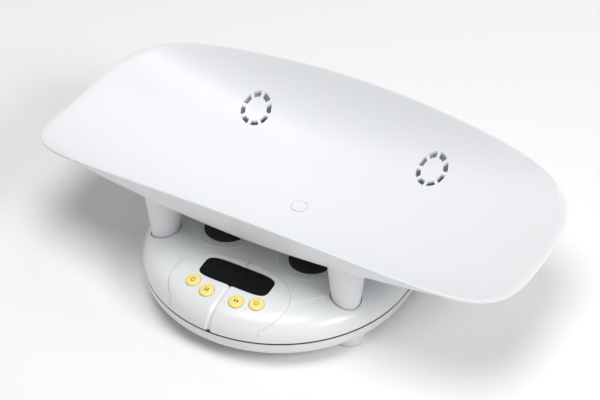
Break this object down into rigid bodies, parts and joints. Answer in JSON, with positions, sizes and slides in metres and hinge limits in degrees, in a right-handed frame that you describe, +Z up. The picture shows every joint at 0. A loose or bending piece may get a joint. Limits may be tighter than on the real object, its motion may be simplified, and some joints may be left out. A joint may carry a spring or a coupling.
{
  "type": "digital baby scale",
  "caption": "Baby weighing scale: a long trough-shaped tray with tapered posts that lifts off an oval base with a display and round push buttons on its front panel.",
  "frame": {"origin": "on the floor, under the middle of the tray", "axes": "+X along the tray to the right of someone who reads the display, -Y towards that person, +Z up"},
  "size_m": [0.56, 0.3678, 0.1466],
  "materials": {
    "white_plastic": "satin",
    "yellow_plastic": "satin",
    "black_plastic": "matte",
    "black_rubber": "matte",
    "grey_rubber": "matte",
    "dark_window": "polished",
    "display_glass": "polished",
    "green_board": "satin",
    "steel": "satin",
    "battery_case": "satin"
  },
  "bodies": {
    "base": {"top_cover": "white_plastic", "control_panel": "white_plastic", "display_window": "dark_window", "display_module": "display_glass", "zero_switch": "black_plastic", "hold_switch": "black_plastic", "unit_switch": "black_plastic", "power_switch": "black_plastic", "button_board": "green_board", "main_board": "green_board", "left_mat": "black_rubber", "right_mat": "black_rubber", "lower_housing": "white_plastic", "battery": "battery_case", "battery_snap": "black_plastic", "load_cell_front_left": "steel", "load_cell_front_right": "steel", "load_cell_rear_left": "steel", "load_cell_rear_right": "steel", "foot_front_left": "white_plastic", "foot_front_right": "white_plastic", "foot_rear_left": "white_plastic", "foot_rear_right": "white_plastic", "foot_pad_front_left": "grey_rubber", "foot_pad_front_right": "grey_rubber", "foot_pad_rear_left": "grey_rubber", "foot_pad_rear_right": "grey_rubber", "housing_screw_1": "steel", "housing_screw_2": "steel", "housing_screw_3": "steel", "housing_screw_4": "steel", "housing_screw_5": "steel", "housing_screw_6": "steel"},
    "tray": {"tray": "white_plastic"},
    "zero_button": {"zero_button": "yellow_plastic"},
    "hold_button": {"hold_button": "yellow_plastic"},
    "unit_button": {"unit_button": "yellow_plastic"},
    "power_button": {"power_button": "yellow_plastic"},
    "battery_door": {"battery_door": "white_plastic"}
  },
  "joints": [
    {"name": "tray_lift", "type": "slide", "parent": "base", "child": "tray", "axis": [0, 0, 1], "range_m": [0, 0.06]},
    {"name": "zero_press", "type": "slide", "parent": "base", "child": "zero_button", "axis": [0.0608, 0.1809, -0.9816], "range_m": [0, 0.001], "stiffness_N_per_m": 400, "springref_m": -0.0005},
    {"name": "hold_press", "type": "slide", "parent": "base", "child": "hold_button", "axis": [0.0278, 0.1888, -0.9816], "range_m": [0, 0.001], "stiffness_N_per_m": 400, "springref_m": -0.0005},
    {"name": "unit_press", "type": "slide", "parent": "base", "child": "unit_button", "axis": [-0.0278, 0.1888, -0.9816], "range_m": [0, 0.001], "stiffness_N_per_m": 400, "springref_m": -0.0005},
    {"name": "power_press", "type": "slide", "parent": "base", "child": "power_button", "axis": [-0.0608, 0.1809, -0.9816], "range_m": [0, 0.001], "stiffness_N_per_m": 400, "springref_m": -0.0005},
    {"name": "battery_door_hinge", "type": "hinge", "parent": "base", "child": "battery_door", "pos_m": [0, 0.03785, 0.0128], "axis": [-1, 0, 0], "range_deg": [0, 75]}
  ]
}
